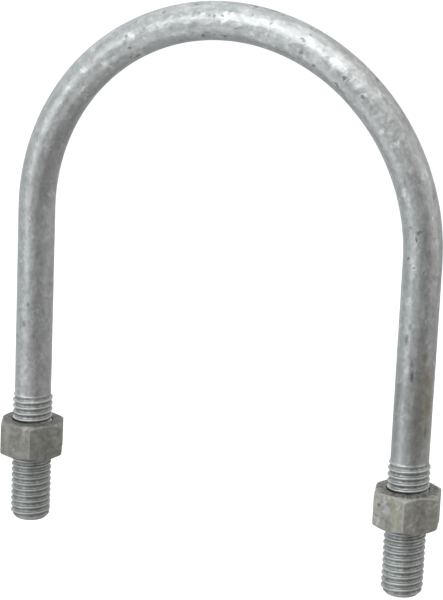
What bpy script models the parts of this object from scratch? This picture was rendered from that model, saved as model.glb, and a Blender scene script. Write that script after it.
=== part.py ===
"""Hot-dip galvanised U-bolt for 4 inch pipe, with two hex nuts.

One round bar is bent to a half circle with two parallel legs. Each leg ends in a rolled 1/2-13 right-hand
thread that stands a little proud of the shank, and carries one hex nut.
Frame: metres, +Z up towards the bend, X across the two legs, Y along the pipe that the bend holds.
The origin is on the ground, midway between the two leg ends.
"""

import math

import bmesh
import bpy
from mathutils import Matrix, Vector

INCH = 0.0254

# Bar and bend
SHANK_RADIUS = 0.0058  # the thread is rolled, so the plain shank is thinner than the thread's crests
BEND_RADIUS = 5.0625 * INCH / 2  # centre line of the bend: half the distance between the legs
LEG_LENGTH = 0.102  # from the bend's centre down to the leg ends
BEND_STEPS = 44
BAR_BEVEL_RESOLUTION = 8  # 20 sides

# Thread, 1/2-13 UNC
PITCH = INCH / 13
CREST_RADIUS = 0.5 * INCH / 2
ROOT_RADIUS = 0.0052
CREST_FLAT = PITCH / 8
THREAD_LENGTH = 0.042
RUN_OUT = 1.5 * PITCH  # length over which the crests fade into the shank
END_CHAMFER = 0.0014
STEPS_PER_TURN = 18
STOCK_TURNS_OVER = 3  # the threaded stock is this many turns longer than the thread cut from it

# Hex nut, finished pattern for 1/2-13, under its zinc
NUT_ZINC = 0.0002  # thickness of the coat on each outer face
NUT_ACROSS_FLATS = 0.75 * INCH + 2 * NUT_ZINC
NUT_HEIGHT = 7 / 16 * INCH + 2 * NUT_ZINC
NUT_BORE_RADIUS = CREST_RADIUS + 0.0003  # plain hole that clears the crests
NUT_COUNTERSINK = 0.0006
NUT_FACE_RADIUS = 0.478 * 0.75 * INCH + NUT_ZINC  # flat ring left by the corner chamfer
NUT_CHAMFER_ANGLE = math.radians(30)
NUT_TOP = 0.033  # height of each nut's upper, bearing face
LEFT_NUT_TURN = math.radians(-4)  # from a corner pointing along +X
RIGHT_NUT_TURN = math.radians(-14)

TURNED_SIDES = 32  # of the shapes that trim a thread or make a nut's hole
CHAMFER_SIDES = 48
TRIM = 0.0002  # how far a trimming shape stands clear of what it leaves alone
BEYOND = 0.001  # how far a trimming shape passes the blank that it trims
SAME_POINT = 1e-6
SHARP_ANGLE = math.radians(35)

BAR_COLOUR = (0.50, 0.52, 0.52, 1.0)
NUT_COLOUR = (0.34, 0.34, 0.32, 1.0)


def clear_scene():
    for obj in list(bpy.data.objects):
        bpy.data.objects.remove(obj, do_unlink=True)


def new_collection(name):
    made = bpy.data.collections.new(name)
    bpy.context.scene.collection.children.link(made)
    return made


def metal(name, colour, roughness):
    """A metallic Principled material."""
    made = bpy.data.materials.new(name)
    made.use_nodes = True
    shader = made.node_tree.nodes["Principled BSDF"]
    shader.inputs["Base Color"].default_value = colour
    shader.inputs["Roughness"].default_value = roughness
    shader.inputs["Metallic"].default_value = 1.0
    return made


def new_object(name, mesh, collection):
    made = bpy.data.objects.new(name, mesh)
    collection.objects.link(made)
    return made


def evaluated_mesh(obj):
    """The mesh of an object with its modifiers, or of a curve, as a mesh of its own."""
    bpy.context.view_layer.update()
    graph = bpy.context.evaluated_depsgraph_get()
    return bpy.data.meshes.new_from_object(obj.evaluated_get(graph))


def profile_mesh(name, points):
    """A polyline of (radius, height) points in the XZ plane."""
    mesh = bpy.data.meshes.new(name)
    edges = [(i, i + 1) for i in range(len(points) - 1)]
    mesh.from_pydata([(radius, 0, height) for radius, height in points], edges, [])
    return mesh


def turned(name, points, sides, collection):
    """A solid of revolution about Z. The profile runs from the axis at the top to the axis at the bottom."""
    made = new_object(name, profile_mesh(name, points), collection)
    screw = made.modifiers.new("turn", "SCREW")
    screw.steps = screw.render_steps = sides
    screw.use_merge_vertices = True
    screw.merge_threshold = SAME_POINT
    return made


def combine(obj, other, operation):
    """A Boolean with the EXACT solver."""
    modifier = obj.modifiers.new(operation.lower() + " " + other.name, "BOOLEAN")
    modifier.operation = operation
    modifier.object = other


def close_with_fans(mesh):
    """Closes the rim at each end of the mesh with a fan of faces to a point on the Z axis."""
    work = bmesh.new()
    work.from_mesh(mesh)
    rims = [edge for edge in work.edges if edge.is_boundary]
    middle = sum(vert.co.z for vert in work.verts) / len(work.verts)
    for above in (False, True):
        rim = [edge for edge in rims if (edge.verts[0].co.z > middle) == above]
        grown = bmesh.ops.extrude_edge_only(work, edges=rim)["geom"]
        inner = [part for part in grown if isinstance(part, bmesh.types.BMVert)]
        height = sum(vert.co.z for vert in inner) / len(inner)
        bmesh.ops.pointmerge(work, verts=inner, merge_co=Vector((0, 0, height)))
    bmesh.ops.recalc_face_normals(work, faces=work.faces)
    work.to_mesh(mesh)
    work.free()


def threaded_stock(name, collection):
    """A stud with ragged ends: one pitch of the thread's outline, turned and lifted by one pitch a turn."""
    flank = (PITCH - CREST_FLAT) / 2
    tooth = [
        (ROOT_RADIUS, PITCH),
        (CREST_RADIUS, PITCH - flank),
        (CREST_RADIUS, flank),
        (ROOT_RADIUS, 0),
    ]
    skin = new_object(name + "_skin", profile_mesh(name + "_skin", tooth), collection)
    screw = skin.modifiers.new("thread", "SCREW")
    screw.steps = screw.render_steps = STEPS_PER_TURN
    screw.screw_offset = PITCH
    screw.iterations = math.ceil(THREAD_LENGTH / PITCH) + STOCK_TURNS_OVER
    weld = skin.modifiers.new("weld turns", "WELD")
    weld.merge_threshold = SAME_POINT
    mesh = evaluated_mesh(skin)
    bpy.data.objects.remove(skin)
    close_with_fans(mesh)
    made = new_object(name, mesh, collection)
    made.location.z = -STOCK_TURNS_OVER / 2 * PITCH
    return made


def thread_envelope(name, collection):
    """What the thread is trimmed to: a chamfered point at the foot, and crests that fade out at the top."""
    outer = CREST_RADIUS + TRIM
    foot = ROOT_RADIUS - TRIM
    points = [
        (0, THREAD_LENGTH),
        (SHANK_RADIUS - TRIM, THREAD_LENGTH),
        (outer, THREAD_LENGTH - RUN_OUT),
        (outer, END_CHAMFER),
        (foot, 0),
        (0, 0),
    ]
    return turned(name, points, TURNED_SIDES, collection)


def threaded_end(name, x, collection):
    """The threaded foot of one leg, standing on the ground at x."""
    stock = threaded_stock(name + "_stock", collection)
    combine(stock, thread_envelope(name + "_envelope", collection), "INTERSECT")
    made = new_object(name, evaluated_mesh(stock), collection)
    made.location = (x, 0, stock.location.z)
    return made


def bar_route():
    """(x, z, share of the shank's radius) along the centre line, from inside one thread to inside the other."""
    core = (ROOT_RADIUS - TRIM) / SHANK_RADIUS
    left_leg = [
        (-BEND_RADIUS, THREAD_LENGTH - 2 * RUN_OUT, core),
        (-BEND_RADIUS, THREAD_LENGTH - RUN_OUT / 2, 1.0),
    ]
    angles = [math.pi * (1 - i / BEND_STEPS) for i in range(BEND_STEPS + 1)]
    bend = [(BEND_RADIUS * math.cos(a), LEG_LENGTH + BEND_RADIUS * math.sin(a), 1.0) for a in angles]
    right_leg = [(-x, z, share) for x, z, share in reversed(left_leg)]
    return left_leg + bend + right_leg


def plain_bar():
    """The mesh of the bar without its threads. Both ends taper down into the threads' cores."""
    route = bar_route()
    curve = bpy.data.curves.new("bar_route", "CURVE")
    curve.dimensions = "3D"
    curve.bevel_depth = SHANK_RADIUS
    curve.bevel_resolution = BAR_BEVEL_RESOLUTION
    curve.use_fill_caps = True
    spline = curve.splines.new("POLY")
    spline.points.add(len(route) - 1)
    for point, (x, z, share) in zip(spline.points, route):
        point.co = (x, 0, z, 1)
        point.radius = share
    tube = new_object("bar_route", curve, bpy.context.scene.collection)
    mesh = evaluated_mesh(tube)
    bpy.data.objects.remove(tube)
    work = bmesh.new()
    work.from_mesh(mesh)
    bmesh.ops.remove_doubles(work, verts=work.verts, dist=SAME_POINT)
    bmesh.ops.recalc_face_normals(work, faces=work.faces)
    work.to_mesh(mesh)
    work.free()
    return mesh


def smooth(mesh):
    mesh.shade_smooth()
    mesh.set_sharp_from_angle(angle=SHARP_ANGLE)


def finish_mesh(mesh, material):
    """Gives a mesh its one material and smooth shading."""
    mesh.materials.clear()
    mesh.materials.append(material)
    smooth(mesh)


def build_bar(parts, helpers, material):
    """The whole bar: bend, legs and both threads in one piece."""
    bar = new_object("bent_rod", plain_bar(), parts)
    for side, x in (("left", -BEND_RADIUS), ("right", BEND_RADIUS)):
        combine(bar, threaded_end(side + "_thread", x, helpers), "UNION")
    joined = evaluated_mesh(bar)
    bar.modifiers.clear()
    bar.data = joined
    finish_mesh(joined, material)


def hex_prism(corner_radius):
    """A hexagonal bar's mesh about the origin, with a corner on +X and a little taller than the nut."""
    mesh = bpy.data.meshes.new("hex")
    work = bmesh.new()
    bmesh.ops.create_cone(
        work,
        cap_ends=True,
        segments=6,
        radius1=corner_radius,
        radius2=corner_radius,
        depth=NUT_HEIGHT + 2 * BEYOND,
        matrix=Matrix.Rotation(math.pi / 2, 4, "Z"),
    )
    work.to_mesh(mesh)
    work.free()
    return mesh


def nut_mesh(helpers):
    """A hex nut about the origin: a hexagon with its corners chamfered at both ends, and a countersunk hole."""
    half = NUT_HEIGHT / 2
    corner_radius = NUT_ACROSS_FLATS / 2 / math.cos(math.radians(30))
    rim = corner_radius + BEYOND
    shoulder = half - (rim - NUT_FACE_RADIUS) * math.tan(NUT_CHAMFER_ANGLE)
    chamfered = [
        (0, half),
        (NUT_FACE_RADIUS, half),
        (rim, shoulder),
        (rim, -shoulder),
        (NUT_FACE_RADIUS, -half),
        (0, -half),
    ]
    mouth = NUT_BORE_RADIUS + NUT_COUNTERSINK + BEYOND
    hole = [
        (0, half + BEYOND),
        (mouth, half + BEYOND),
        (NUT_BORE_RADIUS, half - NUT_COUNTERSINK),
        (NUT_BORE_RADIUS, NUT_COUNTERSINK - half),
        (mouth, -half - BEYOND),
        (0, -half - BEYOND),
    ]
    blank = new_object("nut_blank", hex_prism(corner_radius), helpers)
    combine(blank, turned("nut_chamfer", chamfered, CHAMFER_SIDES, helpers), "INTERSECT")
    combine(blank, turned("nut_hole", hole, TURNED_SIDES, helpers), "DIFFERENCE")
    return evaluated_mesh(blank)


def build_nuts(parts, helpers, material):
    """Both nuts, each with its origin on its leg's axis, along which it travels."""
    mesh = nut_mesh(helpers)
    finish_mesh(mesh, material)
    places = (("left_nut", -BEND_RADIUS, LEFT_NUT_TURN), ("right_nut", BEND_RADIUS, RIGHT_NUT_TURN))
    for name, x, turn in places:
        nut = new_object(name, mesh, parts)
        nut.location = (x, 0, NUT_TOP - NUT_HEIGHT / 2)
        nut.rotation_euler.z = turn


def main():
    clear_scene()
    parts = new_collection("u_bolt")
    helpers = new_collection("helpers")
    build_bar(parts, helpers, metal("galvanised_bar", BAR_COLOUR, 0.45))
    build_nuts(parts, helpers, metal("galvanised_nut", NUT_COLOUR, 0.6))
    for helper in helpers.objects:
        helper.hide_render = True
        helper.display_type = "WIRE"


main()
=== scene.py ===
"""Looks of a hot-dip galvanised pipe U-bolt: the bent bar with its two rolled threads, and its two hex nuts.

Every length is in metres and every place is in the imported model's frame: +Z up towards the bend, X across
the two legs, Y along the pipe that the bend holds, and the origin between the two leg ends.
"""

import logging
import math
from dataclasses import dataclass, field, replace
from enum import Enum

import bpy
import numpy as np
from mathutils import Matrix, Vector


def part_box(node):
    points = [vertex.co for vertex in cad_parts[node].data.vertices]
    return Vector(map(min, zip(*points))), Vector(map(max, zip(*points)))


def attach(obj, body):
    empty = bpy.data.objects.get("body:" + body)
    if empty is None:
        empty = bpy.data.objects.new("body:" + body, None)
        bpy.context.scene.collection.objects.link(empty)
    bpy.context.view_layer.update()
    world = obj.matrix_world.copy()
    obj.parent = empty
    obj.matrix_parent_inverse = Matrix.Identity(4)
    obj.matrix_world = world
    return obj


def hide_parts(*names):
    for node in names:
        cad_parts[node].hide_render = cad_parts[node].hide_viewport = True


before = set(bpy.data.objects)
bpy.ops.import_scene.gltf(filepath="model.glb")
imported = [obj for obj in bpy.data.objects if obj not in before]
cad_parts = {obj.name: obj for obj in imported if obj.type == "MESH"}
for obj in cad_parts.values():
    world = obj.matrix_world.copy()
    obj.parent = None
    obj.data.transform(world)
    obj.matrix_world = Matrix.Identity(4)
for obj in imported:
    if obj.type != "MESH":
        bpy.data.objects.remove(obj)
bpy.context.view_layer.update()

MM = 0.001
INCH = 0.0254
TURN = 2 * math.pi
ORIGIN = (0.0, 0.0, 0.0)

log = logging.getLogger("u_bolt")

Colour = tuple[float, float, float]
Socket = bpy.types.NodeSocket


class Side(Enum):
    """The two legs, by the sign of their X."""

    LEFT = -1
    RIGHT = 1


# ---- surfaces ----


def ease(value: np.ndarray) -> np.ndarray:
    """Smooth step of a value from 0 to 1: three squares less two cubes, flat at both ends."""
    held = np.clip(value, 0.0, 1.0)
    return held * held * (3 - 2 * held)


def soft_minimum(first: np.ndarray, second: np.ndarray, radius: float) -> np.ndarray:
    """The smaller of two values, with the corner between them rounded off.

    Where the two differ by less than the radius, a parabola a quarter of the radius deep joins them.

    Args:
        first: Values in metres.
        second: Values in metres, of the same shape.
        radius: How far either side of the corner the rounding reaches, in metres.

    Returns:
        The rounded minimum.
    """
    share = np.clip(radius - np.abs(first - second), 0.0, None) / radius
    return np.minimum(first, second) - share * share * radius / 4


@dataclass(frozen=True)
class Lumps:
    """The low swells that molten zinc leaves as it runs and freezes: a sum of sine waves in all directions.

    Attributes:
        height: The swells' typical height, in metres.
        length: Their typical wavelength, in metres.
        seed: Which set of waves.
        waves: How many waves are summed.
        spread: Lowest and highest frequency, as shares of the typical one.
    """

    height: float
    length: float
    seed: int
    waves: int = 24
    spread: tuple[float, float] = (0.6, 1.7)

    def at(self, points: np.ndarray) -> np.ndarray:
        """Height of the swells at points.

        Each wave is a sine of the point's dot product with a direction. The directions, phases and, within
        the spread, frequencies are random.

        Args:
            points: Places in metres, with X, Y and Z in the last axis.

        Returns:
            Heights in metres, one for each point.
        """
        draw = np.random.default_rng(self.seed)
        ways = draw.normal(size=(self.waves, 3))
        ways /= np.linalg.norm(ways, axis=1, keepdims=True)
        ways *= (TURN / self.length * draw.uniform(*self.spread, self.waves))[:, None]
        phases = draw.uniform(0, TURN, self.waves)
        return np.sin(points @ ways.T + phases).sum(axis=-1) * self.height / math.sqrt(self.waves / 2)


@dataclass(frozen=True)
class Thread:
    """A 1/2-13 right-hand thread, its corners filled and rounded by the zinc.

    Attributes:
        pitch: Rise in one turn.
        crest: Radius of the crests.
        root: Radius of the roots.
        crest_share: Share of the pitch that is crest.
        root_share: Share of the pitch that is root.
        rounding: Share of the flank's rise that is eased.
    """

    pitch: float = INCH / 13
    crest: float = 6.35 * MM
    root: float = 5.60 * MM
    crest_share: float = 0.10
    root_share: float = 0.12
    rounding: float = 0.8

    def raised(self, height: np.ndarray, angle: np.ndarray) -> np.ndarray:
        """How high the ridge stands, from 0 in the root to 1 on the crest.

        The ridge's phase is height over pitch less angle over a full turn, which climbs anticlockwise as
        seen from above: a right-hand helix. Over one pitch it is a triangle wave, cut flat at crest and
        root, most of it eased to round the corners.

        Args:
            height: Heights along the leg, in metres.
            angle: Angles about the leg, in radians from +X towards +Y.

        Returns:
            Values from 0 to 1.
        """
        phase = height / self.pitch - angle / TURN
        triangle = 1 - np.abs(2 * (phase % 1.0) - 1)
        flank = np.clip((triangle - self.root_share) / (1 - self.root_share - self.crest_share), 0, 1)
        return (1 - self.rounding) * flank + self.rounding * ease(flank)


def grid_quads(rows: int, columns: int, close_rows: bool) -> np.ndarray:
    """Corner numbers of the quads of a grid whose last column joins its first.

    Args:
        rows: Number of rows.
        columns: Number of points in a row.
        close_rows: Whether the last row joins the first too.

    Returns:
        One row of four corner numbers for each quad.
    """
    row = np.arange(rows if close_rows else rows - 1)[:, None]
    column = np.arange(columns)[None, :]
    above, beside = (row + 1) % rows, (column + 1) % columns
    here, over = row * columns, above * columns
    corners = (here + column, over + column, over + beside, here + beside)
    return np.stack(np.broadcast_arrays(*corners), axis=-1).reshape(-1, 4)


def pole_triangles(ring: np.ndarray, pole: int) -> np.ndarray:
    """Triangles from each side of a closed ring of corner numbers to one pole."""
    return np.stack([ring, np.roll(ring, -1), np.full_like(ring, pole)], axis=-1)


def mesh_piece(
    name: str, points: np.ndarray, quads: np.ndarray, triangles: np.ndarray, values: dict[str, np.ndarray]
) -> bpy.types.Object:
    """Makes a smooth-shaded object from whole arrays.

    Args:
        name: The piece's name.
        points: Places in metres, one row each.
        quads: Corner numbers, four to a row.
        triangles: Corner numbers, three to a row.
        values: Point attributes by name, one number or one vector for each point.

    Returns:
        The object, at the origin, linked to the scene.
    """
    mesh = bpy.data.meshes.new(name)
    mesh.vertices.add(len(points))
    mesh.vertices.foreach_set("co", points.astype(np.float32).ravel())
    corners = np.concatenate([quads.ravel(), triangles.ravel()])
    quad_starts = np.arange(len(quads)) * 4
    triangle_starts = quads.size + np.arange(len(triangles)) * 3
    starts = np.concatenate([quad_starts, triangle_starts])
    mesh.loops.add(len(corners))
    mesh.loops.foreach_set("vertex_index", corners.astype(np.int32))
    mesh.polygons.add(len(starts))
    mesh.polygons.foreach_set("loop_start", starts.astype(np.int32))
    mesh.update(calc_edges=True)
    for key, value in values.items():
        kind, slot = ("FLOAT", "value") if value.ndim == 1 else ("FLOAT_VECTOR", "vector")
        attribute = mesh.attributes.new(key, kind, "POINT")
        attribute.data.foreach_set(slot, value.astype(np.float32).ravel())
    mesh.shade_smooth()
    made = bpy.data.objects.new(name, mesh)
    bpy.context.scene.collection.objects.link(made)
    log.info("%s: %d faces", name, len(mesh.polygons))
    return made


# ---- shader groups ----


class NodeTree:
    """Short words for building a shader node tree or group."""

    def __init__(self, tree: bpy.types.ShaderNodeTree) -> None:
        """Keeps the tree."""
        self.tree = tree

    def node(self, kind: str, **settings: object) -> bpy.types.Node:
        """Adds a node and sets its own properties.

        Args:
            kind: The node's type name, without the ShaderNode in front.
            **settings: Properties of the node.

        Returns:
            The node.
        """
        made = self.tree.nodes.new("ShaderNode" + kind)
        for key, value in settings.items():
            setattr(made, key, value)
        return made

    def feed(self, socket: Socket, value: object) -> None:
        """Links or sets a socket.

        Args:
            socket: The socket.
            value: An output to link, or a number, vector or colour to set.
        """
        if isinstance(value, bpy.types.NodeSocket):
            self.tree.links.new(value, socket)
        else:
            socket.default_value = value

    def math(self, operation: str, *values: object) -> Socket:
        """A Math node's result.

        Args:
            operation: What the node does.
            *values: One to three values.

        Returns:
            The number.
        """
        made = self.node("Math", operation=operation)
        for socket, value in zip(made.inputs, values):
            self.feed(socket, value)
        return made.outputs["Value"]

    def attribute(self, name: str, output: str) -> Socket:
        """One output of a mesh attribute."""
        return self.node("Attribute", attribute_name=name).outputs[output]

    def vector(self, operation: str, *values: object) -> Socket:
        """A Vector Math node's result.

        Args:
            operation: What the node does.
            *values: One or two vectors.

        Returns:
            A number for a length or a dot product, and otherwise a vector.
        """
        made = self.node("VectorMath", operation=operation)
        for socket, value in zip(made.inputs, values):
            self.feed(socket, value)
        return made.outputs["Value" if operation in ("LENGTH", "DOT_PRODUCT") else "Vector"]

    def spread(
        self, value: object, low: object, high: object, to_low: float = 0.0, to_high: float = 1.0
    ) -> Socket:
        """Maps a value from one range to another, eased and held at both ends.

        Args:
            value: The value to map.
            low: Where its range starts.
            high: Where its range ends.
            to_low: What the start becomes.
            to_high: What the end becomes.

        Returns:
            The mapped value.
        """
        made = self.node("MapRange", interpolation_type="SMOOTHSTEP")
        for key, given in (("Value", value), ("From Min", low), ("From Max", high)):
            self.feed(made.inputs[key], given)
        made.inputs["To Min"].default_value = to_low
        made.inputs["To Max"].default_value = to_high
        return made.outputs["Result"]

    def mix(self, share: object, first: object, second: object, blend: str = "MIX") -> Socket:
        """Mixes two colours.

        Args:
            share: How much of the second, from 0 to 1.
            first: A colour.
            second: A colour.
            blend: How they mix.

        Returns:
            The mixed colour.
        """
        made = self.node("Mix", data_type="RGBA", blend_type=blend)
        for socket, value in zip((made.inputs[0], made.inputs[6], made.inputs[7]), (share, first, second)):
            self.feed(socket, value)
        return made.outputs[2]

    def noise(
        self, vector: object, scale: object, detail: float, roughness: float, twist: float = 0.0
    ) -> Socket:
        """A noise texture's value.

        Args:
            vector: Where to read it.
            scale: Features to a metre.
            detail: Octaves.
            roughness: How strong the finer octaves are.
            twist: Distortion.

        Returns:
            The value, from 0 to 1.
        """
        made = self.node("TexNoise")
        given = {"Vector": vector, "Scale": scale, "Detail": detail, "Roughness": roughness}
        for key, value in {**given, "Distortion": twist}.items():
            self.feed(made.inputs[key], value)
        return made.outputs["Fac"]

    def group(self, group: "Group", **values: object) -> dict[str, Socket]:
        """Places a group and feeds its inputs.

        Args:
            group: The group to place.
            **values: The group's inputs, with an underscore for each space in a name.

        Returns:
            The group's outputs by name.
        """
        made = self.node("Group")
        made.node_tree = group.tree
        for key, value in values.items():
            self.feed(made.inputs[key.replace("_", " ")], value)
        return {socket.name: socket for socket in made.outputs}


class Group(NodeTree):
    """A shader node group with named inputs and outputs, built once and placed in many materials."""

    def __init__(self, name: str, inputs: dict[str, object], outputs: tuple[str, ...]) -> None:
        """Makes the group's tree and its sockets.

        Args:
            name: The group's name.
            inputs: Each input's default: a number, or a vector as three numbers.
            outputs: The names of the outputs, which are all numbers.
        """
        super().__init__(bpy.data.node_groups.new(name, "ShaderNodeTree"))
        for key, value in inputs.items():
            kind = "NodeSocketVector" if isinstance(value, tuple) else "NodeSocketFloat"
            made = self.tree.interface.new_socket(key, in_out="INPUT", socket_type=kind)
            made.default_value = value
        for key in outputs:
            self.tree.interface.new_socket(key, in_out="OUTPUT", socket_type="NodeSocketFloat")
        self.given = self.node_of("NodeGroupInput").outputs
        self.result = self.node_of("NodeGroupOutput").inputs

    def node_of(self, kind: str) -> bpy.types.Node:
        """Adds a node by its full type name."""
        return self.tree.nodes.new(kind)


# The mottle. A fineness counts features against the blotches.
TONE_RANGE = (0.38, 0.62)  # noise values from the darkest to the lightest blotch
STREAK_STRETCH = (1.0, 1.0, 0.2)  # draws the streaks out along Z
STREAK_FINENESS = 2.4
STREAK_SHARE = 0.4  # of the tone that comes from the streaks
PATTERN_SHIFT = (0.31, 0.17, 0.23)  # moves a second noise away from the first
PATCH_FINENESS = 1.2
PATCH_FRAY = 0.3  # how much the grain breaks up the smears
SMEAR_EDGE = 0.16  # noise values over which a smear's edge fades
FINER_FINENESS = 3.2
FINER_SHARE = 0.16  # of the finer relief on the rolling one

# The pits and dimples. Their own fineness counts against their spacing.
PIT_BEND = 0.9  # how far a cell's place is bent, in spacings
PIT_BEND_FINENESS = 1.6
PIT_EDGES = (0.4, 1.7)  # where the floor starts to rise and the rim ends, in radii
PIT_RIM = 0.45  # the rim's height as a share of the depth
CLUSTER_FINENESS = 0.24
CLUSTER_EDGE = 0.08  # noise values over which a cluster of pits thins out
DIMPLE_SHIFT = (0.13, 0.07, 0.19)  # moves the dimples away from the pits
PIT_FLOOR = (0.09, 0.095, 0.095)

# Where effects show.
MARK_SOLID = 0.25  # the share of a mark's reach that is solid
# The next range breaks the painted shade and grime in recesses into clots.
SHADE_AND_GRIME_CLOTS = (-0.20, 0.12, 1.25, 0.45)  # the grain's range, and the grime's share at its two ends
CROWN_HEIGHTS = (0.12, 0.16)  # where the bend's own look starts and is full, in metres
CROWN_LEAN = 0.3  # how much of X counts towards that height


def mottle_group() -> Group:
    """Zinc's uneven skin: broad blotches, streaks along the metal, bright smears and a fine grain.

    The tone mixes a twisted noise with one drawn out along Z. The smears are a third noise, cut off near
    its top and broken up by the grain. The height is a softer noise with few octaves, so that the relief
    rolls, with a little finer relief on top.

    Returns:
        The group, with outputs Tone, Smear, Grain and Height.
    """
    group = Group(
        "zinc_mottle",
        {"Vector": ORIGIN, "Blotch Scale": 130.0, "Grain Scale": 900.0, "Smear Level": 0.55},
        ("Tone", "Smear", "Grain", "Height"),
    )
    given = group.given
    place, scale = given["Vector"], given["Blotch Scale"]
    blotch = group.noise(place, scale, detail=4.0, roughness=0.6, twist=0.4)
    drawn = group.vector("MULTIPLY", place, STREAK_STRETCH)
    streak_scale = group.math("MULTIPLY", scale, STREAK_FINENESS)
    streak = group.noise(drawn, streak_scale, detail=3.0, roughness=0.6)
    blotches = group.math("MULTIPLY", blotch, 1 - STREAK_SHARE)
    tone = group.math("MULTIPLY_ADD", streak, STREAK_SHARE, blotches)
    shifted = group.vector("ADD", place, PATTERN_SHIFT)
    patch_scale = group.math("MULTIPLY", scale, PATCH_FINENESS)
    patch = group.noise(shifted, patch_scale, detail=3.0, roughness=0.55, twist=0.5)
    grain = group.noise(place, given["Grain Scale"], detail=3.0, roughness=0.7)
    centred = group.math("SUBTRACT", grain, 0.5)
    broken = group.math("MULTIPLY_ADD", centred, PATCH_FRAY, patch)
    top = group.math("ADD", given["Smear Level"], SMEAR_EDGE)
    rolling = group.noise(shifted, scale, detail=1.5, roughness=0.4, twist=0.3)
    finer_scale = group.math("MULTIPLY", scale, FINER_FINENESS)
    finer = group.noise(place, finer_scale, detail=2.0, roughness=0.5)
    group.feed(group.result["Tone"], group.spread(tone, *TONE_RANGE))
    group.feed(group.result["Smear"], group.spread(broken, given["Smear Level"], top))
    group.feed(group.result["Grain"], grain)
    group.feed(group.result["Height"], group.math("MULTIPLY_ADD", finer, FINER_SHARE, rolling))
    return group


def pits_group() -> Group:
    """Dark pits with raised rims: the bent middles of scattered cells, where a broad noise allows them.

    A pit's floor lies inside the radius, and its rim reaches out past it.

    Returns:
        The group, with outputs Mask, which is 1 in a pit, and Height, which is negative in it.
    """
    group = Group(
        "pits_and_dimples",
        {"Vector": ORIGIN, "Scale": 420.0, "Radius": 0.16, "Start": 0.56},
        ("Mask", "Height"),
    )
    given = group.given
    place, scale, radius = given["Vector"], given["Scale"], given["Radius"]
    bent = group.node("TexNoise")
    bent.inputs["Detail"].default_value = 3.0
    group.feed(bent.inputs["Vector"], place)
    group.feed(bent.inputs["Scale"], group.math("MULTIPLY", scale, PIT_BEND_FINENESS))
    sway = group.vector("SUBTRACT", bent.outputs["Color"], (0.5, 0.5, 0.5))
    moved = group.node("VectorMath", operation="SCALE")
    group.feed(moved.inputs[0], sway)
    group.feed(moved.inputs["Scale"], group.math("DIVIDE", PIT_BEND, scale))
    cells = group.node("TexVoronoi")
    group.feed(cells.inputs["Vector"], group.vector("ADD", place, moved.outputs[0]))
    group.feed(cells.inputs["Scale"], scale)
    away = cells.outputs["Distance"]
    inner, outer = (group.math("MULTIPLY", radius, share) for share in PIT_EDGES)
    floor = group.math("SUBTRACT", 1.0, group.spread(away, inner, radius))
    rim = group.math("SUBTRACT", 1.0, group.spread(away, radius, outer))
    broad = group.noise(place, group.math("MULTIPLY", scale, CLUSTER_FINENESS), detail=2.0, roughness=0.5)
    allowed = group.spread(broad, given["Start"], group.math("ADD", given["Start"], CLUSTER_EDGE))
    relief = group.math("SUBTRACT", group.math("MULTIPLY", rim, PIT_RIM), floor)
    group.feed(group.result["Mask"], group.math("MULTIPLY", floor, allowed))
    group.feed(group.result["Height"], group.math("MULTIPLY", relief, allowed))
    return group


def spot_group() -> Group:
    """One mark at a stated place: an ellipsoid's distance, frayed by noise and faded towards its rim.

    Returns:
        The group, with output Mask.
    """
    group = Group(
        "placed_mark",
        {"Vector": ORIGIN, "Centre": ORIGIN, "Reach": (0.002, 0.002, 0.002), "Fray": 0.7},
        ("Mask",),
    )
    given = group.given
    away = group.vector("SUBTRACT", given["Vector"], given["Centre"])
    distance = group.vector("LENGTH", group.vector("DIVIDE", away, given["Reach"]))
    noise = group.noise(given["Vector"], scale=700.0, detail=3.0, roughness=0.65)
    frayed = group.math("MULTIPLY_ADD", group.math("SUBTRACT", noise, 0.5), given["Fray"], distance)
    rim = group.spread(frayed, MARK_SOLID, 1.0)
    group.feed(group.result["Mask"], group.math("SUBTRACT", 1.0, rim))
    return group


def wear_group() -> Group:
    """Rubbed edges: an edge value from the mesh, broken up by noise.

    Returns:
        The group, with output Mask.
    """
    group = Group("edge_wear", {"Edge": 0.0, "Vector": ORIGIN, "Start": 0.5, "Break Up": 1.0}, ("Mask",))
    given = group.given
    noise = group.noise(given["Vector"], scale=600.0, detail=4.0, roughness=0.7)
    centred = group.math("SUBTRACT", noise, 0.5)
    edge = group.math("MULTIPLY_ADD", centred, given["Break Up"], given["Edge"])
    group.feed(group.result["Mask"], group.spread(edge, given["Start"], 1.0))
    return group


@dataclass
class Effects:
    """The shared shader groups, each made once."""

    mottle: Group = field(default_factory=mottle_group)
    pits: Group = field(default_factory=pits_group)
    spot: Group = field(default_factory=spot_group)
    wear: Group = field(default_factory=wear_group)


@dataclass(frozen=True)
class Mark:
    """A smear, stain or film at one place on the metal.

    Attributes:
        centre: Its middle, in metres.
        reach: Its half sizes along X, Y and Z, in metres.
        colour: What it turns the zinc to.
        strength: How much of that colour shows, from 0 to 1.
    """

    centre: tuple[float, float, float]
    reach: tuple[float, float, float]
    colour: Colour
    strength: float


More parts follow.
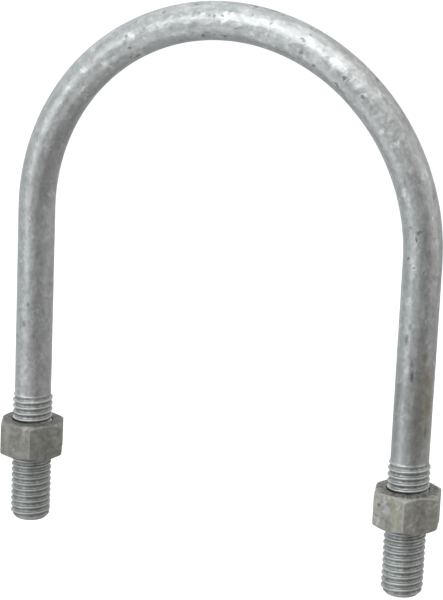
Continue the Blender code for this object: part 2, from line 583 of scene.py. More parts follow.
@dataclass(frozen=True)
class ZincFinish:
    """A hot-dip galvanised surface.

    Attributes:
        name: The material's name.
        slot: The record's material slot that it stands for; not used.
        dark: Colour of its dull blotches.
        light: Colour of its lighter blotches.
        bright: Colour of its smooth smears.
        shade_and_grime: Colour of painted shade and grime laid into thread roots, the nut's bore and its
            flat rings.
        worn: Colour of rubbed edges and crests.
        metallic: How much of it reflects as bare metal.
        dull_roughness: Roughness of the blotches.
        bright_roughness: Roughness of the smears and worn edges.
        smear_level: Noise value above which a smear starts, so a higher one leaves fewer.
        blotch_scale: Blotches to a metre.
        bump_depth: Depth of the blotches' relief, in metres.
        dimple_scale: Dimples to a metre.
        dimple_start: Noise value above which dimples start low on the object.
        dimple_rise: How much lower that value is at the top of the bend, where there are more of them.
        dimple_radius: Radius of their floors, as a share of their spacing.
        dimple_shade: How dark their floors are, from 0 to 1.
        dimple_depth: Their depth as a share of the bump's.
        pit_start: Noise value above which the small pits start.
        pit_shade: How dark their floors are, from 0 to 1.
        pit_depth: Their depth as a share of the bump's.
        low_relief: Share of the relief that is left low on the object, away from the bend.
        worn_share: How strongly the worn colour shows on edges and crests.
        grain: How much the grain varies the colour.
        grain_roughness: How much it varies the roughness.
        rugged_roughness: Roughness added on crests, in recesses and on edges.
    """

    name: str
    slot: str
    dark: Colour
    light: Colour
    bright: Colour
    shade_and_grime: Colour
    worn: Colour
    metallic: float
    dull_roughness: float
    bright_roughness: float
    smear_level: float
    blotch_scale: float
    bump_depth: float
    dimple_scale: float = 300.0
    dimple_start: float = 0.62
    dimple_rise: float = 0.14
    dimple_radius: float = 0.24
    dimple_shade: float = 0.45
    dimple_depth: float = 0.13
    pit_start: float = 0.58
    pit_shade: float = 0.50
    pit_depth: float = 0.12
    low_relief: float = 1.0
    worn_share: float = 1.0
    grain: float = 0.6
    grain_roughness: float = 0.25
    rugged_roughness: float = 0.10

    def material(self, effects: Effects, coordinates: str, marks: tuple[Mark, ...]) -> bpy.types.Material:
        """Builds the material.

        Args:
            effects: The shared shader groups.
            coordinates: The attribute that patterns follow, or an empty text for Object coordinates.
            marks: Marks at stated places.

        Returns:
            The material.
        """
        made = bpy.data.materials.new(self.name)
        made.use_nodes = True
        tree = NodeTree(made.node_tree)
        shader = made.node_tree.nodes["Principled BSDF"]
        place = tree.node("TexCoord").outputs["Object"]
        pattern = tree.attribute(coordinates, "Vector") if coordinates else place
        mask = self.masks(tree, effects, place, pattern)
        colour = self.colour(tree, mask)
        for mark in marks:
            spot = tree.group(effects.spot, Vector=place, Centre=mark.centre, Reach=mark.reach)
            share = tree.math("MULTIPLY", spot["Mask"], mark.strength)
            colour = tree.mix(share, colour, (*mark.colour, 1.0))
        tree.feed(shader.inputs["Base Color"], colour)
        tree.feed(shader.inputs["Roughness"], self.roughness(tree, mask))
        bump = tree.node("Bump")
        bump.inputs["Strength"].default_value = 1.0
        bump.inputs["Distance"].default_value = self.bump_depth
        tree.feed(bump.inputs["Height"], self.relief(tree, mask))
        tree.feed(shader.inputs["Normal"], bump.outputs["Normal"])
        shader.inputs["Metallic"].default_value = self.metallic
        return made

    def masks(self, tree: NodeTree, effects: Effects, place: Socket, pattern: Socket) -> dict[str, Socket]:
        """Places the shared effects and reads the mesh's own values.

        Args:
            tree: The material's nodes.
            effects: The shared shader groups.
            place: Object coordinates.
            pattern: The coordinates that patterns follow.

        Returns:
            The values that colour, roughness and relief are made from, by name.
        """
        zinc = tree.group(
            effects.mottle, Vector=pattern, Blotch_Scale=self.blotch_scale, Smear_Level=self.smear_level
        )
        pits = tree.group(effects.pits, Vector=pattern, Start=self.pit_start)
        crown = self.crown(tree, place)
        dimples = tree.group(
            effects.pits,
            Vector=tree.vector("ADD", pattern, DIMPLE_SHIFT),
            Scale=self.dimple_scale,
            Radius=self.dimple_radius,
            Start=tree.math("MULTIPLY_ADD", crown, -self.dimple_rise, self.dimple_start),
        )
        # The mesh value for where painted shade and grime go: thread roots, the nut's bore and its flat
        # rings.
        edge, shade_and_grime = tree.attribute("edge", "Fac"), tree.attribute("shade_and_grime", "Fac")
        wear = tree.group(effects.wear, Edge=edge, Vector=pattern)
        return zinc | {
            "Pits": pits["Mask"],
            "Pit Height": pits["Height"],
            "Dimples": dimples["Mask"],
            "Dimple Height": dimples["Height"],
            "Wear": tree.math("MULTIPLY", wear["Mask"], self.worn_share),
            "Shade And Grime": shade_and_grime,
            "Rugged": tree.math("MAXIMUM", edge, shade_and_grime),
            "Crown": crown,
            "Grain": tree.math("SUBTRACT", zinc["Grain"], 0.5),
        }

    def colour(self, tree: NodeTree, mask: dict[str, Socket]) -> Socket:
        """Blotches, smears, grain, clotted painted shade and grime in recesses, worn edges and dark floors,
        laid over one another.

        Args:
            tree: The material's nodes.
            mask: The values that the effects and the mesh give.

        Returns:
            The colour.
        """
        colour = tree.mix(mask["Tone"], (*self.dark, 1.0), (*self.light, 1.0))
        colour = tree.mix(mask["Smear"], colour, (*self.bright, 1.0))
        grain = tree.math("MULTIPLY_ADD", mask["Grain"], self.grain, 1.0)
        grey = tree.node("CombineColor")
        for socket in grey.inputs:
            tree.feed(socket, grain)
        colour = tree.mix(1.0, colour, grey.outputs[0], "MULTIPLY")
        # Painted shade and grime laid into recesses, broken into clots by the grain.
        clots = tree.spread(mask["Grain"], *SHADE_AND_GRIME_CLOTS)
        colour = tree.mix(tree.math("MULTIPLY", mask["Shade And Grime"], clots), colour, (*self.shade_and_grime, 1.0))
        colour = tree.mix(mask["Wear"], colour, (*self.worn, 1.0))
        for name, shade in (("Dimples", self.dimple_shade), ("Pits", self.pit_shade)):
            colour = tree.mix(tree.math("MULTIPLY", mask[name], shade), colour, (*PIT_FLOOR, 1.0))
        return colour

    def roughness(self, tree: NodeTree, mask: dict[str, Socket]) -> Socket:
        """Smoothest in smears and on worn edges, rougher where it is rugged, and varied by the grain.

        Args:
            tree: The material's nodes.
            mask: The values that the effects and the mesh give.

        Returns:
            The roughness.
        """
        smooth = tree.math("MAXIMUM", mask["Smear"], mask["Wear"])
        plain = tree.spread(smooth, 0.0, 1.0, self.dull_roughness, self.bright_roughness)
        rugged = tree.math("MULTIPLY_ADD", mask["Rugged"], self.rugged_roughness, plain)
        return tree.math("MULTIPLY_ADD", mask["Grain"], self.grain_roughness, rugged)

    def relief(self, tree: NodeTree, mask: dict[str, Socket]) -> Socket:
        """The rolling skin, weaker low on plain metal, with dimples and pits sunk into it.

        Args:
            tree: The material's nodes.
            mask: The values that the effects and the mesh give.

        Returns:
            The height, where 1 is the bump's depth.
        """
        full = tree.math("MAXIMUM", mask["Crown"], mask["Rugged"])
        rolling = tree.math("MULTIPLY", mask["Height"], tree.spread(full, 0.0, 1.0, self.low_relief, 1.0))
        dimpled = tree.math("MULTIPLY_ADD", mask["Dimple Height"], self.dimple_depth, rolling)
        return tree.math("MULTIPLY_ADD", mask["Pit Height"], self.pit_depth, dimpled)

    def crown(self, tree: NodeTree, place: Socket) -> Socket:
        """How far up the bend a point lies, from 0 low on the object to 1, sooner towards +X.

        Args:
            tree: The material's nodes.
            place: Object coordinates.

        Returns:
            The value, from height and a share of X.
        """
        parts = tree.node("SeparateXYZ")
        tree.feed(parts.inputs[0], place)
        height = tree.math("MULTIPLY_ADD", parts.outputs["X"], CROWN_LEAN, parts.outputs["Z"])
        return tree.spread(height, *CROWN_HEIGHTS)


# ---- the bar ----

DULL_GREY: Colour = (0.20, 0.208, 0.196)
PIT_GREY: Colour = (0.07, 0.08, 0.08)
STAIN_BROWN: Colour = (0.30, 0.26, 0.17)
FILM_YELLOW: Colour = (0.38, 0.40, 0.23)
PALE_GREY: Colour = (0.60, 0.60, 0.62)


@dataclass
class BentBar:
    """The round bar: two threaded legs joined by a half circle, one surface from foot to foot.

    Attributes:
        thread: The rolled thread on each leg.
        finish: Its zinc.
        shank: Radius of the plain bar.
        thread_length: From a foot to the top of its thread.
        run_out: Length over which the thread fades into the shank.
        foot: Radius of each foot's flat end.
        chamfer: Height of the taper from a foot up to the crests.
        chamfer_spare: How far outside the crests the taper ends.
        chamfer_rounding: How far the rounding of the taper's edge reaches.
        columns: Points around the bar.
        thread_step: Distance between rows on a thread.
        shank_step: Distance between rows on the plain bar.
        lumps: The zinc's broad swells.
        fine_lumps: Its small ones.
        thread_lumps: How much higher the small ones are on a crest or in a root.
        calm_share: Share of a foot's radius that has no swells.
        pattern_stretch: How much the finish's pattern is drawn out along the bar, below 1 for longer.
    """

    thread: Thread
    finish: ZincFinish
    shank: float = 5.785 * MM
    thread_length: float = 42 * MM
    run_out: float = 1.6 * MM
    foot: float = 4.9 * MM
    chamfer: float = 1.7 * MM
    chamfer_spare: float = 0.2 * MM
    chamfer_rounding: float = 0.5 * MM
    columns: int = 80
    thread_step: float = 0.14 * MM
    shank_step: float = 0.9 * MM
    lumps: Lumps = Lumps(height=0.035 * MM, length=9 * MM, seed=5)
    fine_lumps: Lumps = Lumps(height=0.012 * MM, length=2.6 * MM, seed=6)
    thread_lumps: float = 2.0
    calm_share: float = 0.9
    pattern_stretch: float = 0.8

    def __post_init__(self) -> None:
        """Reads the bend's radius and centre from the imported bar."""
        low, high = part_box("bent_rod")
        self.bend_radius = high.x - self.thread.crest
        self.leg_length = high.z - self.shank - self.bend_radius
        self.bend_length = math.pi * self.bend_radius

    def rows(self) -> np.ndarray:
        """Distances along the bar, close together on both threads and wider apart between them."""
        top = self.thread_length + self.run_out
        total = 2 * self.leg_length + self.bend_length
        fine = np.linspace(0, top, math.ceil(top / self.thread_step))
        wide = np.linspace(top, total - top, math.ceil((total - 2 * top) / self.shank_step))
        return np.concatenate([fine, wide[1:-1], total - fine[::-1]])

    def centre_line(self, along: np.ndarray) -> tuple[np.ndarray, np.ndarray]:
        """Centre of the bar, and the direction away from the bend's inside, at distances along it.

        Up to the leg's length the centre rises on the left leg. Over the bend it goes round a half circle
        by distance over radius. After that it comes down the right leg.

        Args:
            along: Distances from the left foot, in metres.

        Returns:
            The centres and the outward unit vectors, one row each.
        """
        turned = np.clip((along - self.leg_length) / self.bend_radius, 0, math.pi)
        outward = np.stack([-np.cos(turned), np.zeros_like(turned), np.sin(turned)], axis=-1)
        left = np.minimum(along, self.leg_length)
        right = np.minimum(2 * self.leg_length + self.bend_length - along, self.leg_length)
        height = np.where(along < self.leg_length + self.bend_length / 2, left, right)
        centre = self.bend_radius * outward
        centre[:, 2] += height
        return centre, outward

    def radius(self, along: np.ndarray, around: np.ndarray) -> tuple[np.ndarray, np.ndarray, np.ndarray]:
        """Radius of the bar, with both threads.

        A leg's radius goes from the shank's to the thread's over the run-out, and is held under a cone that
        rises from the foot. The thread's angle is measured from +X, so it counts the other way on the left
        leg, whose outward side is -X.

        Args:
            along: Distances from the left foot, as a column.
            around: Angles from the outward side towards +Y, as a row.

        Returns:
            The radius, how near each point is to a crest, and how deep in a root, for every row and column.
        """
        total = 2 * self.leg_length + self.bend_length
        on_left = along < total / 2
        height = np.where(on_left, along, total - along)
        angle = np.where(on_left, math.pi - around, around)
        raised = self.thread.raised(height, angle)
        threaded = self.thread.root + (self.thread.crest - self.thread.root) * raised
        share = 1 - ease((height - self.thread_length + self.run_out) / self.run_out)
        radius = self.shank + (threaded - self.shank) * share
        cone = self.foot + height * (self.thread.crest - self.foot + self.chamfer_spare) / self.chamfer
        radius = soft_minimum(radius, cone, self.chamfer_rounding)
        return radius, raised * share, (1 - raised) ** 2 * share

    def build(self, effects: Effects, marks: tuple[Mark, ...]) -> bpy.types.Object:
        """Makes the bar's mesh, dresses it and sets it on its body.

        Args:
            effects: The shared shader groups.
            marks: Marks at stated places.

        Returns:
            The bar.
        """
        along = self.rows()
        around = np.arange(self.columns) * TURN / self.columns
        centre, outward = self.centre_line(along)
        sideways = np.array([0.0, 1.0, 0.0])
        spoke = (
            np.cos(around)[None, :, None] * outward[:, None, :] + np.sin(around)[None, :, None] * sideways
        )
        radius, crest, root = self.radius(along[:, None], around[None, :])
        points = centre[:, None, :] + radius[..., None] * spoke
        rugged = 1 + self.thread_lumps * np.maximum(crest, root)
        swell = self.lumps.at(points) + self.fine_lumps.at(points) * rugged
        clear_of_feet = ease(radius / self.foot - self.calm_share)
        points += (swell * clear_of_feet)[..., None] * spoke
        points, quads, triangles, poles = self.close_feet(points, centre)
        unbent = (radius * np.cos(around), radius * np.sin(around), (along * self.pattern_stretch)[:, None])
        straight = np.stack(np.broadcast_arrays(*unbent), axis=-1).reshape(-1, 3)
        values = {
            "straight": np.concatenate([straight, poles * [1.0, 1.0, self.pattern_stretch]]),
            "edge": np.concatenate([crest.ravel(), np.zeros(2)]),
            # How deep in a root: where painted shade and grime go on the threads.
            "shade_and_grime": np.concatenate([root.ravel(), np.zeros(2)]),
        }
        bar = mesh_piece("galvanised_bar", points, quads, triangles, values)
        bar.data.materials.append(self.finish.material(effects, "straight", marks))
        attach(bar, "rod")
        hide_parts("bent_rod")
        return bar

    def close_feet(
        self, points: np.ndarray, centre: np.ndarray
    ) -> tuple[np.ndarray, np.ndarray, np.ndarray, np.ndarray]:
        """Closes both feet with triangles to their middles.

        Args:
            points: The bar's surface, by row and column.
            centre: The centre line.

        Returns:
            All the points as one list, the quads, the triangles, and the two middles.
        """
        rows, columns = points.shape[:2]
        poles = centre[[0, -1]]
        first = np.arange(columns)
        last = first + (rows - 1) * columns
        triangles = np.concatenate(
            [pole_triangles(first, rows * columns), pole_triangles(last[::-1], rows * columns + 1)]
        )
        everything = np.concatenate([points.reshape(-1, 3), poles])
        return everything, grid_quads(rows, columns, False), triangles, poles


# ---- the nuts ----


@dataclass
class HexNut:
    """A hex nut: threaded bore, countersunk mouths, flat rings, chamfered corners and six flats.

    Attributes:
        side: The leg that it is on.
        turn: Its turn from a corner pointing along +X, in radians.
        thread: The thread that it runs on.
        finish: Its zinc.
        across_flats: Distance between opposite flats.
        face_share: Radius of the flat ring's rim as a share of across_flats.
        chamfer: Slope of the chamfered corners, in radians.
        mouth: Radius of the countersunk mouth.
        mouth_depth: How far below each face the bore's own points start.
        mouth_rounding: How far the rounding between bore and mouth reaches.
        play: How far the nut's thread stands clear of the leg's, in radius.
        fillet: How far the rounding of the rims reaches.
        sharpness: Power of the sum that rounds the hexagon's corners: higher is sharper.
        crowding: Share of the points' spacing that is drawn towards the corners.
        swell: Height of the zinc's lumps on the outside.
        swell_length: Their wavelength.
        bore_shade_and_grime: How much painted shade and grime the bore takes, where 1 is all of that colour.
        ring_darkening: How much of the same darker colour the flat rings take.
        corner_wear: How far from an upright corner its wear reaches, in radians.
        rim_wear: How far from a chamfer's lower end its wear reaches.
        lumps_start: How far outside the mouth the lumps are full.
        wear_start: How far outside it the corners' wear is full.
        columns_per_flat: Points along one flat.
        bore_rows: Rows of points in the bore.
        bend_rows: Rows of points in each rounded rim.
    """

    side: Side
    turn: float
    thread: Thread
    finish: ZincFinish
    across_flats: float = 19.46 * MM
    face_share: float = 0.478
    chamfer: float = math.radians(30)
    mouth: float = 6.5 * MM
    mouth_depth: float = 0.25 * MM
    mouth_rounding: float = 0.3 * MM
    play: float = 0.15 * MM
    fillet: float = 0.5 * MM
    sharpness: float = 260.0
    crowding: float = 0.75
    swell: float = 0.05 * MM
    swell_length: float = 6 * MM
    bore_shade_and_grime: float = 0.75
    ring_darkening: float = 0.8
    corner_wear: float = math.radians(4.5)
    rim_wear: float = 0.7 * MM
    lumps_start: float = 1.2 * MM
    wear_start: float = 1.5 * MM
    columns_per_flat: int = 26
    bore_rows: int = 90
    bend_rows: int = 6

    def __post_init__(self) -> None:
        """Reads the nut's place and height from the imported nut."""
        self.node = self.side.name.lower() + "_nut"
        low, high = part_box(self.node)
        self.x = self.side.value * (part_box("bent_rod")[1].x - self.thread.crest)
        self.bottom, self.top = low.z, high.z

    def angles(self) -> np.ndarray:
        """Angles around the nut, closer together at the six corners.

        Within each sixth, an even step from -1 to 1 is mixed with its sine, which crowds both ends.

        Returns:
            Angles in radians from the corner that the turn gives.
        """
        step = (np.arange(self.columns_per_flat) + 0.5) / self.columns_per_flat * 2 - 1
        crowded = (1 - self.crowding) * step + self.crowding * np.sin(step * math.pi / 2)
        middles = (np.arange(6) + 0.5) * TURN / 6
        return (middles[:, None] + crowded[None, :] * TURN / 12).ravel()

    def hex_radius(self, angle: np.ndarray) -> np.ndarray:
        """Distance from the axis to a rounded hexagon.

        Each flat is half the width over across the cosine of the angle to its middle. A sum of their high
        negative powers picks the nearest flat and rounds the corner between two.

        Args:
            angle: Angles in radians from a corner.

        Returns:
            Radii in metres.
        """
        middles = (np.arange(6) + 0.5) * TURN / 6
        facing = np.clip(np.cos(angle[:, None] - middles[None, :]), 1e-3, None)
        total = (facing**self.sharpness).sum(axis=1)
        return self.across_flats / 2 * total ** (-1 / self.sharpness)

    def outer_corners(self, angle: np.ndarray) -> np.ndarray:
        """Corners of the outline from the top mouth round the outside to the bottom mouth.

        The chamfer is a 30 degree cone from the flat ring's rim, so its lower end on each side sinks with
        the hexagon's radius there, which draws the curved line over each flat.

        Args:
            angle: Angles in radians from a corner.

        Returns:
            Radius and height, by corner and angle.
        """
        half = (self.top - self.bottom) / 2
        flat = self.hex_radius(angle)
        ring = np.full_like(flat, self.face_share * self.across_flats)
        mouth = np.full_like(flat, self.mouth)
        drop = (flat - ring) * math.tan(self.chamfer)
        level = np.full_like(flat, half)
        upper = [(mouth, level), (ring, level), (flat, level - drop)]
        lower = [(radius, -height) for radius, height in reversed(upper)]
        return np.array(upper + lower).transpose(0, 2, 1)

    def rounded(self, corners: np.ndarray, first: np.ndarray, last: np.ndarray) -> np.ndarray:
        """Rounds the corners of an outline.

        Each corner becomes a quadratic curve that starts and ends a fillet's reach along its two sides,
        or a third of the side where that is shorter.

        Args:
            corners: Radius and height, by corner and angle.
            first: The outline's point before them.
            last: The outline's point after them.

        Returns:
            The rounded outline's points, by row and angle.
        """
        chain = np.concatenate([first[None], corners, last[None]])
        share = np.linspace(0, 1, self.bend_rows)[:, None, None]
        made = []
        for before, here, after in zip(chain[:-2], chain[1:-1], chain[2:]):
            ends = []
            for other in (before, after):
                way = other - here
                length = np.linalg.norm(way, axis=-1, keepdims=True)
                ends.append(here + way / length * np.minimum(self.fillet, length / 3))
            made.append((1 - share) ** 2 * ends[0] + 2 * share * (1 - share) * here + share**2 * ends[1])
        return np.concatenate(made)

    def bore(self, angle: np.ndarray) -> np.ndarray:
        """The threaded hole from bottom to top.

        Its thread is the leg's, moved outwards by the play, and cut back by a cone at each mouth.

        Args:
            angle: World angles about the leg's axis.

        Returns:
            Radius and height, by row and angle.
        """
        half, inset = (self.top - self.bottom) / 2, self.mouth_depth
        height = np.linspace(inset - half, half - inset, self.bore_rows)[:, None]
        raised = self.thread.raised(height + (self.top + self.bottom) / 2, angle[None, :])
        radius = self.thread.root + (self.thread.crest - self.thread.root) * raised + self.play
        mouth = self.mouth + inset - (half - np.abs(height))
        radius = -soft_minimum(-radius, -mouth, self.mouth_rounding)
        return np.stack([radius, np.broadcast_to(height, radius.shape)], axis=-1)

    def build(self, effects: Effects, marks: tuple[Mark, ...]) -> bpy.types.Object:
        """Makes the nut's mesh, dresses it and sets it on its body.

        Args:
            effects: The shared shader groups.
            marks: Marks at stated places.

        Returns:
            The nut.
        """
        around = self.angles()
        angle = around + self.turn
        hole = self.bore(angle)
        skin = self.rounded(self.outer_corners(around), hole[-1], hole[0])
        outline = np.concatenate([hole, skin])
        spoke = np.stack([np.cos(angle), np.sin(angle), np.zeros_like(angle)], axis=-1)
        middle = np.array([self.x, 0.0, (self.top + self.bottom) / 2])
        points = middle + outline[..., :1] * spoke[None] + outline[..., 1:] * np.array([0.0, 0.0, 1.0])
        outer = ease((outline[..., 0] - self.mouth) / self.lumps_start)
        lumps = Lumps(self.swell, self.swell_length, seed=20 + self.side.value)
        inward = 1.6 * self.swell  # keeps the lumps' tops at the flats
        points += ((lumps.at(points) - inward) * outer)[..., None] * spoke[None]
        rows, columns = outline.shape[:2]
        values = {
            "edge": self.edge_values(outline, around).ravel(),
            # Painted shade and grime in the bore, and the same darker colour over the flat rings.
            "shade_and_grime": self.shade_and_grime_values(outline).ravel(),
        }
        quads = grid_quads(rows, columns, True)
        nut = mesh_piece(
            "galvanised_" + self.node, points.reshape(-1, 3), quads, np.empty((0, 3), int), values
        )
        nut.data.materials.append(self.finish.material(effects, "", marks))
        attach(nut, self.node + "_body")
        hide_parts(self.node)
        return nut

    def shade_and_grime_values(self, outline: np.ndarray) -> np.ndarray:
        """How much of the painted shade and grime colour goes on: much in the bore, and also on the flat
        rings, and none outside them.

        Args:
            outline: Radius and height, by row and angle.

        Returns:
            One value for each row and angle.
        """
        radius, down_the_bore = outline[..., 0], 0.6 * MM
        bore = np.clip((self.mouth - radius) / down_the_bore, 0, 1)
        fade_start, fade = self.face_share * self.across_flats - 0.4 * MM, 1.4 * MM
        outside = ease((radius - fade_start) / fade)
        return np.maximum(self.bore_shade_and_grime * bore, self.ring_darkening * (1 - outside))

    def edge_values(self, outline: np.ndarray, around: np.ndarray) -> np.ndarray:
        """How near each point is to an outer edge of the nut, from 0 to 1.

        An upright corner counts by the angle to it, and a rim by the distance to the chamfer's lower end.

        Args:
            outline: Radius and height, by row and angle.
            around: Angles in radians from a corner.

        Returns:
            One value for each row and angle.
        """
        from_corner = np.abs((around + TURN / 12) % (TURN / 6) - TURN / 12)
        upright = 1 - np.clip(from_corner / self.corner_wear, 0, 1)
        half = (self.top - self.bottom) / 2
        flat = self.hex_radius(around)
        rim = half - (flat - self.face_share * self.across_flats) * math.tan(self.chamfer)
        radius, height = outline[..., 0], np.abs(outline[..., 1])
        away = np.hypot(radius - flat, height - rim)
        level = 1 - np.clip(away / self.rim_wear, 0, 1)
        outside = ease((radius - self.mouth) / self.wear_start)
        return np.maximum(level, upright * outside)


# ---- studio ----


@dataclass(frozen=True)
class SoftBox:
    """A large soft lamp.

    Attributes:
        name: Its name.
        azimuth: Where it stands round the object: 0 is in front, at -Y, and 90 at +X.
        elevation: Its height above the horizon, in degrees.
        distance: From the object's middle, in metres.
        size: Its width and height, in metres.
        brightness: Of its surface, where 1 is white.
    """

    name: str
    azimuth: float
    elevation: float
    distance: float
    size: tuple[float, float]
    brightness: float

    def build(self, target: Vector) -> bpy.types.Object:
        """Makes the lamp, facing a target.

        Its power is its brightness times its area times pi.

        Args:
            target: Where it faces.

        Returns:
            The lamp.
        """
        data = bpy.data.lights.new(self.name, "AREA")
        data.shape = "RECTANGLE"
        data.size, data.size_y = self.size
        data.energy = self.brightness * self.size[0] * self.size[1] * math.pi
        lamp = bpy.data.objects.new(self.name, data)
        bpy.context.scene.collection.objects.link(lamp)
        away = from_angles(self.azimuth, self.elevation)
        lamp.location = target + away * self.distance
        lamp.rotation_euler = away.to_track_quat("Z", "Y").to_euler()
        return lamp


def from_angles(azimuth: float, elevation: float) -> Vector:
    """Unit vector towards an azimuth, 0 at -Y and 90 at +X, and an elevation, both in degrees."""
    turn, rise = math.radians(azimuth), math.radians(elevation)
    return Vector((math.sin(turn) * math.cos(rise), -math.cos(turn) * math.cos(rise), math.sin(rise)))


@dataclass
class Studio:
    """Pale floor, white surroundings, soft lamps and the camera.

    Attributes:
        floor_drop: How far the floor lies under the leg ends, which leaves room for a nut run off its leg.
        floor_size: Side of the floor.
        lamps: The soft lamps.
        surroundings: Brightness of the room, level with the object.
        slope: How that brightness grows along +X, +Y and +Z.
        opening: Azimuth and elevation of the dim opening that the camera looks in through, in degrees.
        opening_edges: Degrees from its middle at which the dimming starts and is full.
        opening_depth: How much darker it is.
        left_tint: Colour of the room's light from the left.
        right_tint: Colour of the room's light from the right.
        tint_edges: The direction's X at which each tint is full.
        camera_azimuth: Where the camera stands, in degrees from -Y towards +X.
        camera_elevation: How far it looks down, in degrees.
        camera_roll: Its turn about its own line of sight, in degrees.
        camera_distance: To its target.
        target_drop: How far the target is below the bend's centre, across the line of sight.
        target_left: How far it is to the left of it.
        lens: Focal length in millimetres, on a 36 mm frame.
    """

    floor_drop: float = 16 * MM
    floor_size: float = 12.0
    lamps: tuple[SoftBox, ...] = tuple(
        SoftBox(*row)  # name, azimuth, elevation, distance, size, brightness
        for row in (
            ("key", -11, 40, 0.8, (0.5, 0.5), 1.80),
            ("top_left", 13, 63, 0.8, (0.5, 0.42), 0.75),
            ("top_right", 50, 50, 0.8, (0.4, 0.4), 0.60),
            ("overhead", 25, 86, 0.8, (0.8, 0.8), 0.44),
            ("side_strip", -35, 11, 0.8, (0.48, 0.5), 0.92),
            ("side_low", -37, -12, 0.8, (0.4, 0.4), 0.28),
            ("side_lower", -40, -40, 0.8, (0.5, 0.5), 0.58),
            ("front", 9, 24, 0.9, (0.36, 0.4), 0.30),
            ("back_left", -107, 40, 0.9, (0.8, 0.8), 0.20),
            ("right", 100, 10, 0.9, (0.8, 0.7), 0.43),
            ("low_front", 2, -42, 0.8, (0.5, 0.42), 0.60),
            ("below", 25, -85, 0.8, (0.8, 0.8), 0.23),
        )
    )
    surroundings: float = 0.575
    slope: tuple[float, float, float] = (-0.165, 0.0725, 0.2375)
    opening: tuple[float, float] = (38.0, -12.0)
    opening_edges: tuple[float, float] = (38.0, 14.0)
    opening_depth: float = 0.09
    left_tint: Colour = (0.955, 1.0, 1.015)
    right_tint: Colour = (1.0, 0.985, 0.955)
    tint_edges: tuple[float, float] = (-0.8, 0.8)
    camera_azimuth: float = 24.61
    camera_elevation: float = 14.30
    camera_roll: float = 2.44
    camera_distance: float = 0.6819
    target_drop: float = 19.9 * MM
    target_left: float = 0.28 * MM
    lens: float = 135.5

    def build(self, bend_centre: Vector) -> None:
        """Makes everything round the object.

        Args:
            bend_centre: The middle of the bend's circle.
        """
        self.make_world()
        self.make_floor()
        for lamp in self.lamps:
            lamp.build(bend_centre)
            log.info("lamp %s: brightness %.2f", lamp.name, lamp.brightness)
        self.make_camera(bend_centre)

    def make_world(self) -> None:
        """The room: white where it is seen, and as a light a soft grey that is brightest up and to the left.

        Its brightness is the surroundings plus the direction's dot product with the slope, less a soft
        round opening, which the metal reflects as a darker band.
        """
        world = bpy.data.worlds.new("studio")
        world.use_nodes = True
        tree = NodeTree(world.node_tree)
        way = tree.vector("NORMALIZE", tree.node("TexCoord").outputs["Generated"])
        across = tree.vector("DOT_PRODUCT", way, (1.0, 0.0, 0.0))
        rise = tree.vector("DOT_PRODUCT", way, self.slope)
        facing = tree.vector("DOT_PRODUCT", way, from_angles(*self.opening))
        opening = tree.spread(facing, *(math.cos(math.radians(edge)) for edge in self.opening_edges))
        dimmed = tree.math("MULTIPLY_ADD", opening, -self.opening_depth, self.surroundings)
        light = tree.math("ADD", rise, dimmed)
        seen = tree.node("LightPath").outputs["Is Camera Ray"]
        rightness = tree.spread(across, *self.tint_edges)
        tint = tree.mix(rightness, (*self.left_tint, 1.0), (*self.right_tint, 1.0))
        background = world.node_tree.nodes["Background"]
        tree.feed(background.inputs["Color"], tree.mix(seen, tint, (1.0, 1.0, 1.0, 1.0)))
        tree.feed(background.inputs["Strength"], tree.math("MAXIMUM", seen, light))
        bpy.context.scene.world = world

    def make_floor(self) -> None:
        """A broad white floor that glows a little, so that it stays as pale as the room.

        The metal neither reflects it nor takes its light, which come from the room's lower half instead.
        """
        half = self.floor_size / 2
        corners = ((-half, -half), (half, -half), (half, half), (-half, half))
        points = np.array([(x, y, -self.floor_drop) for x, y in corners])
        floor = mesh_piece("floor", points, np.array([[0, 1, 2, 3]]), np.empty((0, 3), int), {})
        floor.visible_diffuse = floor.visible_glossy = floor.visible_shadow = False
        paper = bpy.data.materials.new("pale_floor")
        paper.use_nodes = True
        shader = paper.node_tree.nodes["Principled BSDF"]
        for key, value in (
            ("Base Color", (0.6, 0.6, 0.6, 1.0)),
            ("Roughness", 0.9),
            ("Specular IOR Level", 0.1),
            ("Emission Color", (1.0, 1.0, 1.0, 1.0)),
            ("Emission Strength", 0.6),
        ):
            shader.inputs[key].default_value = value
        floor.data.materials.append(paper)

    def make_camera(self, bend_centre: Vector) -> None:
        """Sets the camera.

        It stands at its azimuth and elevation from the target, looks at it, and is then rolled.

        Args:
            bend_centre: The middle of the bend's circle.
        """
        back = from_angles(self.camera_azimuth, self.camera_elevation)
        level = back.to_track_quat("Z", "Y").to_matrix()
        turned = level @ Matrix.Rotation(math.radians(self.camera_roll), 3, "Z")
        target = bend_centre - turned.col[1] * self.target_drop - turned.col[0] * self.target_left
        data = bpy.data.cameras.new("camera")
        data.sensor_width = 36.0
        data.lens = self.lens
        data.clip_start, data.clip_end = 0.01, 50.0
        camera = bpy.data.objects.new("camera", data)
        bpy.context.scene.collection.objects.link(camera)
        camera.matrix_world = turned.to_4x4()
        camera.location = target + back * self.camera_distance
        bpy.context.scene.camera = camera


# ---- main ----

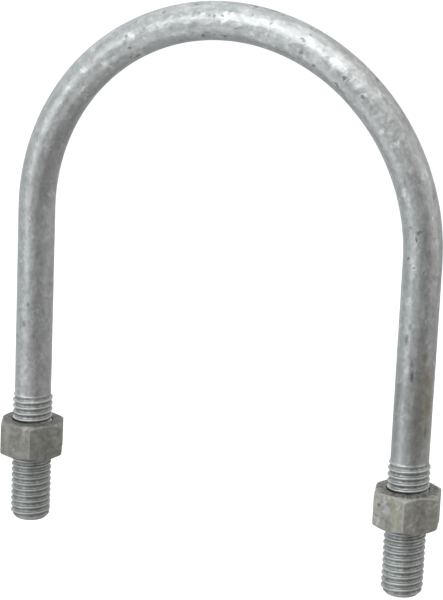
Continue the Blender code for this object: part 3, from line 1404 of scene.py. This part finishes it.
BAR_ZINC = ZincFinish(
    name="bar_zinc",
    slot="galvanised_bar",
    dark=(0.44, 0.455, 0.457),
    light=(0.555, 0.57, 0.571),
    bright=(0.63, 0.645, 0.647),
    # Painted shade and grime in the thread roots.
    shade_and_grime=(0.225, 0.236, 0.222),
    worn=(0.58, 0.595, 0.595),
    metallic=0.9,
    dull_roughness=0.37,
    bright_roughness=0.28,
    smear_level=0.54,
    blotch_scale=260.0,
    bump_depth=0.00055,
    dimple_start=0.60,
    dimple_rise=0.18,
    dimple_shade=0.55,
    low_relief=0.45,
    worn_share=0.55,
    grain=0.7,
)
NUT_ZINC = ZincFinish(
    name="left_nut_zinc",
    slot="galvanised_nut",
    dark=(0.25, 0.25, 0.222),
    light=(0.35, 0.35, 0.322),
    bright=(0.42, 0.42, 0.39),
    # Painted shade and grime in the bore, and a darker tone on the flat rings.
    shade_and_grime=(0.13, 0.13, 0.12),
    worn=(0.40, 0.40, 0.37),
    metallic=0.65,
    dull_roughness=0.56,
    bright_roughness=0.45,
    smear_level=0.58,
    blotch_scale=260.0,
    bump_depth=0.00030,
    dimple_start=0.66,
    dimple_rise=0.0,
    dimple_shade=0.3,
    worn_share=0.15,
    grain=0.85,
)
PALER_NUT_ZINC = replace(
    NUT_ZINC,
    name="right_nut_zinc",
    dark=(0.335, 0.337, 0.296),
    light=(0.41, 0.412, 0.370),
    bright=(0.52, 0.525, 0.51),
    # Painted shade and grime in the bore, and a darker tone on the flat rings.
    shade_and_grime=(0.10, 0.10, 0.09),
    worn=(0.50, 0.50, 0.47),
    smear_level=0.56,
    worn_share=0.5,
)


def on_leg(side: Side, height: float, angle: float) -> tuple[float, float, float]:
    """A place on a leg's surface.

    Args:
        side: The leg.
        height: Above the leg's end.
        angle: Degrees about the leg from +X towards +Y.

    Returns:
        X, Y and Z in metres.
    """
    reach, radius, turn = 64.3 * MM, 5.8 * MM, math.radians(angle)
    return (side.value * reach + radius * math.cos(turn), radius * math.sin(turn), height)


def bar_marks() -> tuple[Mark, ...]:
    """The bar's darker grey patches, dark smears and brown stains.

    Returns:
        The marks.
    """
    rows = (  # leg, height, angle, reach across and along the leg, colour, strength
        (Side.RIGHT, 56, -100, 11, 26, DULL_GREY, 0.34),
        # These two darken the threads low on both legs, near the feet.
        (Side.RIGHT, 8, -60, 15, 22, DULL_GREY, 0.20),
        (Side.LEFT, 8, -60, 15, 22, DULL_GREY, 0.28),
        (Side.RIGHT, 69, -80, 0.9, 2.2, PIT_GREY, 0.75),
        (Side.RIGHT, 73, -83, 0.9, 1.8, PIT_GREY, 0.45),
        (Side.RIGHT, 80, -104, 0.9, 2.6, PIT_GREY, 0.55),
        (Side.RIGHT, 84, -94, 0.9, 1.3, PIT_GREY, 0.4),
        (Side.RIGHT, 61, -34, 4.5, 22, STAIN_BROWN, 0.36),
        (Side.RIGHT, 75, -44, 1.6, 2.0, STAIN_BROWN, 0.5),
        (Side.RIGHT, 68, -34, 1.6, 4.0, STAIN_BROWN, 0.5),
        (Side.RIGHT, 60, -27, 1.6, 5.0, STAIN_BROWN, 0.6),
        (Side.RIGHT, 52, -26, 0.9, 3.0, PIT_GREY, 0.4),
        (Side.LEFT, 72, -82, 0.9, 1.1, PIT_GREY, 0.4),
        (Side.LEFT, 65.4, -95, 0.9, 1.4, PIT_GREY, 0.55),
        (Side.LEFT, 61, -127, 1.2, 0.8, PIT_GREY, 0.4),
    )
    return tuple(
        Mark(on_leg(side, height * MM, angle), (wide * MM, wide * MM, tall * MM), colour, strength)
        for side, height, angle, wide, tall, colour, strength in rows
    )


def right_nut_marks() -> tuple[Mark, ...]:
    """The right nut's dark spots, pale patch and yellow-green film, mostly on its front left flat.

    Returns:
        The marks.
    """
    rows = (  # X, Y, Z, reach across and along the nut, colour, strength
        (58.6, -8.4, 29.2, 0.7, 0.7, PIT_GREY, 0.8),
        (57.8, -8.2, 25.6, 0.6, 0.7, PIT_GREY, 0.6),
        (59.8, -8.7, 25.3, 1.2, 0.5, PIT_GREY, 0.4),
        (61.4, -9.1, 28.1, 1.8, 2.4, PALE_GREY, 0.5),
        (62.2, -9.3, 31.2, 1.6, 0.9, FILM_YELLOW, 0.55),
        (64.1, -9.8, 27.6, 0.9, 4.2, FILM_YELLOW, 0.5),
        (71.0, -6.8, 23.2, 0.8, 0.6, STAIN_BROWN, 0.6),
    )
    return tuple(
        Mark((x * MM, y * MM, z * MM), (wide * MM, wide * MM, tall * MM), colour, strength)
        for x, y, z, wide, tall, colour, strength in rows
    )


def main() -> None:
    """Builds the bar, the nuts and the studio."""
    logging.basicConfig(level=logging.INFO, format="%(name)s: %(message)s")
    bpy.context.scene.view_settings.view_transform = "Standard"
    effects = Effects()
    thread = Thread()
    bar = BentBar(thread=thread, finish=BAR_ZINC)
    bar.build(effects, bar_marks())
    for side, turn, zinc, marks in (
        (Side.LEFT, -4.0, NUT_ZINC, ()),
        (Side.RIGHT, -14.0, PALER_NUT_ZINC, right_nut_marks()),
    ):
        nut = HexNut(side=side, turn=math.radians(turn), thread=thread, finish=zinc)
        nut.build(effects, marks)
    Studio().build(Vector((0.0, 0.0, bar.leg_length)))


if __name__ == "__main__":
    main()
